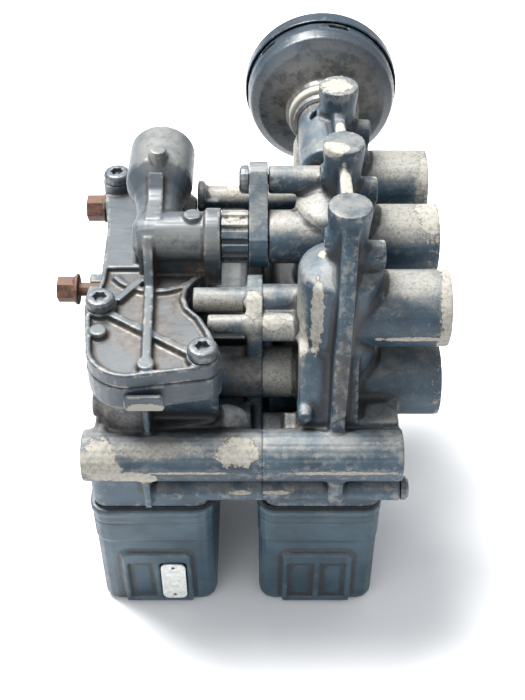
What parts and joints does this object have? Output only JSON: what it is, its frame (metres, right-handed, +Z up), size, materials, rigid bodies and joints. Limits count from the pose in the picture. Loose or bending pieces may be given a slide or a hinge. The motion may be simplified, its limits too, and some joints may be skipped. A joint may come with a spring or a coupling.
{
  "type": "electro-pneumatic modulator valve",
  "caption": "Cast two-channel air brake modulator valve with side ports, mounting lugs, solenoid boxes below, a ducted cover and a round exhaust silencer.",
  "frame": {"origin": "middle of the bounding box's underside, on the surface that the boxes stand on", "axes": "+X the way the row of four ports points, -Y the front with the supply tube, +Z up from the boxes to the mounting lugs"},
  "size_m": [0.2144, 0.2409, 0.278],
  "materials": {
    "cast_aluminium": "weathered as-cast, dark oxide film",
    "duct_plastic": "moulded, satin, dusty",
    "box_plastic": "moulded, satin",
    "silencer_plastic": "moulded, satin",
    "worn_plastic": "worn pale",
    "rusty_steel": "rusted",
    "zinc_steel": "zinc plated, dulled",
    "rubber": "matte",
    "brass": "turned",
    "coil_winding": "potted winding",
    "board": "lacquered board",
    "white_tag": "off-white, satin",
    "felt": "felt"
  },
  "bodies": {
    "housing": {"cover_base": "duct_plastic", "cover_clip": "worn_plastic", "cover_screw_front": "zinc_steel", "cover_screw_left": "zinc_steel", "cover_screw_rear": "zinc_steel", "duct_cover": "duct_plastic", "duct_sleeve": "cast_aluminium", "flange_bolt_front": "rusty_steel", "flange_bolt_rear": "rusty_steel", "left_box_gasket": "rubber", "left_box_screw_front": "zinc_steel", "left_box_screw_rear": "zinc_steel", "left_circuit_board": "board", "left_closing_plate": "brass", "left_connector": "box_plastic", "left_exhaust_armature_spring": "zinc_steel", "left_exhaust_coil": "coil_winding", "left_inlet_armature_spring": "zinc_steel", "left_inlet_coil": "coil_winding", "left_poppet_spring": "zinc_steel", "left_pressure_sensor": "zinc_steel", "left_solenoid_box": "box_plastic", "left_valve_body": "cast_aluminium", "left_valve_seat": "brass", "right_box_gasket": "rubber", "right_box_screw_front": "zinc_steel", "right_box_screw_rear": "zinc_steel", "right_circuit_board": "board", "right_closing_plate": "brass", "right_connector": "box_plastic", "right_exhaust_armature_spring": "zinc_steel", "right_exhaust_coil": "coil_winding", "right_inlet_armature_spring": "zinc_steel", "right_inlet_coil": "coil_winding", "right_poppet_spring": "zinc_steel", "right_pressure_sensor": "zinc_steel", "right_solenoid_box": "box_plastic", "right_valve_body": "cast_aluminium", "right_valve_seat": "brass", "silencer_absorber": "felt", "silencer_bowl": "silencer_plastic", "silencer_clamp": "zinc_steel", "silencer_cover": "silencer_plastic", "sleeve_flange": "cast_aluminium", "sleeve_screw": "zinc_steel", "tag_plate": "white_tag", "tie_bolt": "zinc_steel"},
    "left_relay_piston": {"left_relay_piston": "brass", "left_piston_seal": "rubber"},
    "left_poppet": {"left_poppet": "rubber"},
    "left_exhaust_armature": {"left_exhaust_armature": "zinc_steel"},
    "left_inlet_armature": {"left_inlet_armature": "zinc_steel"},
    "right_relay_piston": {"right_relay_piston": "brass", "right_piston_seal": "rubber"},
    "right_poppet": {"right_poppet": "rubber"},
    "right_exhaust_armature": {"right_exhaust_armature": "zinc_steel"},
    "right_inlet_armature": {"right_inlet_armature": "zinc_steel"},
    "exhaust_flap": {"exhaust_flap": "rubber"}
  },
  "joints": [
    {"name": "left_piston_lift", "type": "slide", "parent": "housing", "child": "left_relay_piston", "axis": [0, 0, 1], "range_m": [0, 0.003], "stiffness_N_per_m": 1500},
    {"name": "left_poppet_lift", "type": "slide", "parent": "housing", "child": "left_poppet", "axis": [0, 0, 1], "range_m": [0, 0.003], "stiffness_N_per_m": 600, "deforming": ["left_poppet_spring"]},
    {"name": "left_exhaust_armature_lift", "type": "slide", "parent": "housing", "child": "left_exhaust_armature", "axis": [0, 0, 1], "range_m": [0, 0.0015], "stiffness_N_per_m": 600, "deforming": ["left_exhaust_armature_spring"]},
    {"name": "left_inlet_armature_lift", "type": "slide", "parent": "housing", "child": "left_inlet_armature", "axis": [0, 0, 1], "range_m": [0, 0.0015], "stiffness_N_per_m": 600, "deforming": ["left_inlet_armature_spring"]},
    {"name": "right_piston_lift", "type": "slide", "parent": "housing", "child": "right_relay_piston", "axis": [0, 0, 1], "range_m": [0, 0.003], "stiffness_N_per_m": 1500},
    {"name": "right_poppet_lift", "type": "slide", "parent": "housing", "child": "right_poppet", "axis": [0, 0, 1], "range_m": [0, 0.003], "stiffness_N_per_m": 600, "deforming": ["right_poppet_spring"]},
    {"name": "right_exhaust_armature_lift", "type": "slide", "parent": "housing", "child": "right_exhaust_armature", "axis": [0, 0, 1], "range_m": [0, 0.0015], "stiffness_N_per_m": 600, "deforming": ["right_exhaust_armature_spring"]},
    {"name": "right_inlet_armature_lift", "type": "slide", "parent": "housing", "child": "right_inlet_armature", "axis": [0, 0, 1], "range_m": [0, 0.0015], "stiffness_N_per_m": 600, "deforming": ["right_inlet_armature_spring"]},
    {"name": "exhaust_flap_open", "type": "slide", "parent": "housing", "child": "exhaust_flap", "axis": [0, 1, 0], "range_m": [0, 0.004], "stiffness_N_per_m": 60}
  ],
  "couplings": [
    {"joint": "left_poppet_lift", "follows": "left_piston_lift", "ratio": 1},
    {"joint": "right_poppet_lift", "follows": "right_piston_lift", "ratio": 1}
  ]
}
